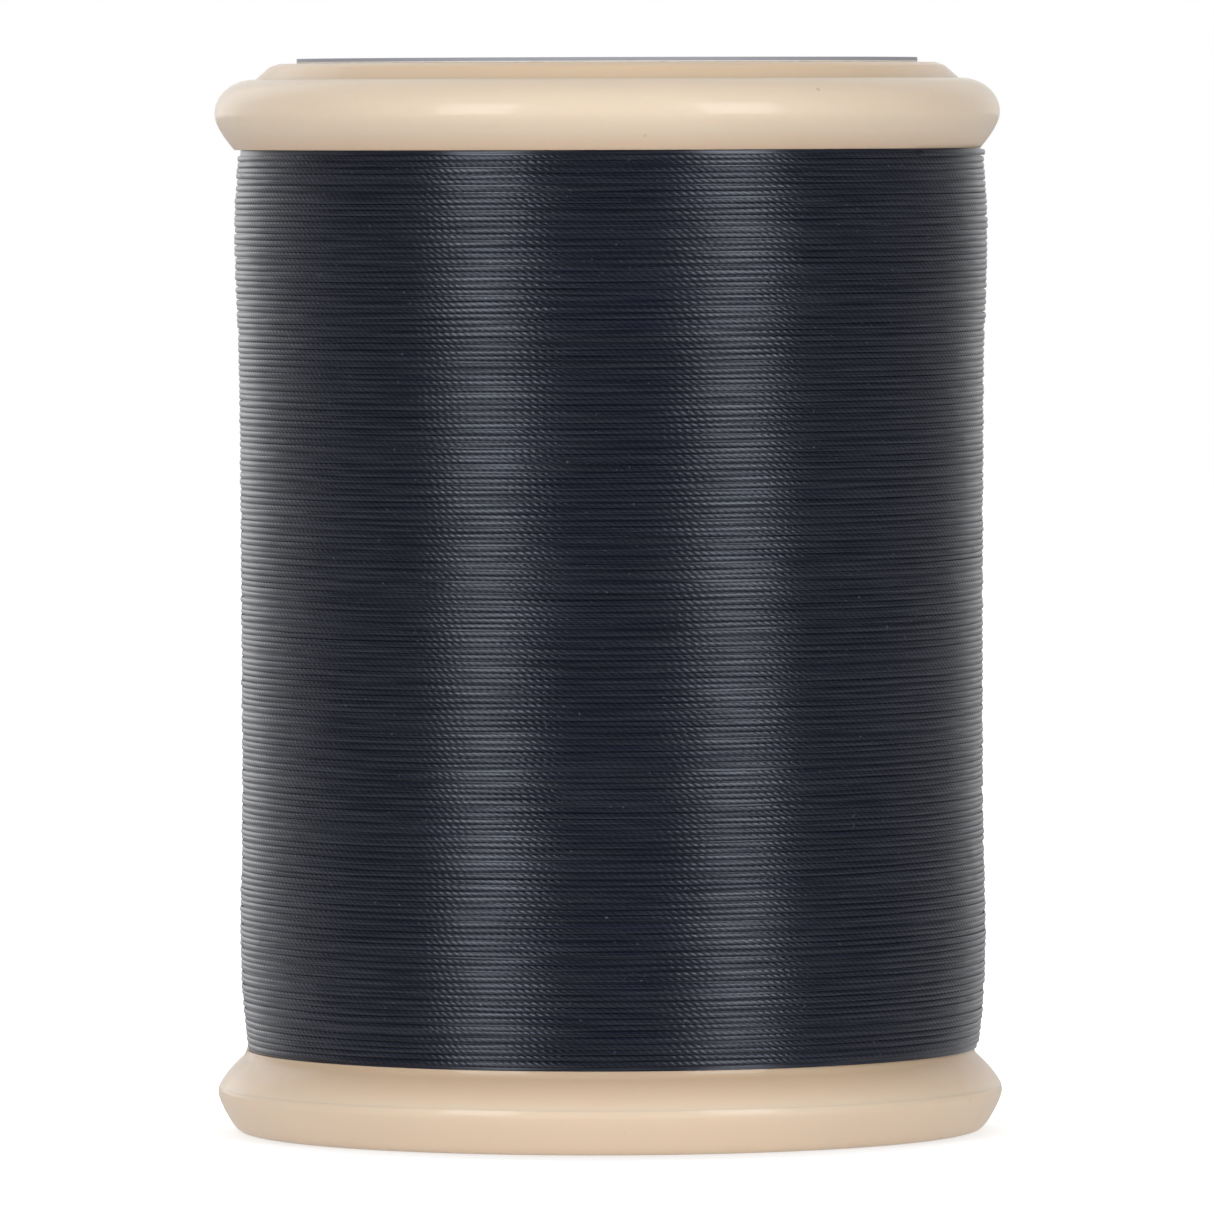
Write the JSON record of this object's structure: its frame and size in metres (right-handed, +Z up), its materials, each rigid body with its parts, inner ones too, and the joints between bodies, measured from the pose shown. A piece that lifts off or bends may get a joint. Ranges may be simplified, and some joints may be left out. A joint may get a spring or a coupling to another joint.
{
  "type": "spool of sewing thread",
  "caption": "Flanged hollow spool wound full of dark thread, with a raised labelled cap, a hole for a spool pin and a base that slides down to trap the thread's end.",
  "frame": {"origin": "centre of the foot ring, on the plane that the spool stands on", "axes": "+Z up along the spool's axis, from the snap base to the labelled cap; +Y away from the front, where the thread's end is tucked in"},
  "size_m": [0.04, 0.04, 0.0546],
  "materials": {
    "spool_plastic": "satin",
    "thread": "satin",
    "top_label_paper": "satin",
    "base_label_paper": "matte"
  },
  "bodies": {
    "spool": {"core_barrel": "spool_plastic", "lower_flange": "spool_plastic", "upper_flange": "spool_plastic", "top_cap": "spool_plastic", "pin_tube": "spool_plastic", "top_label": "top_label_paper", "thread_package": "thread", "thread_end": "thread"},
    "base": {"snap_base": "spool_plastic", "base_label": "base_label_paper"}
  },
  "joints": [
    {"name": "base_slide", "type": "slide", "parent": "spool", "child": "base", "axis": [0, 0, -1], "range_m": [0, 0.0015]}
  ]
}
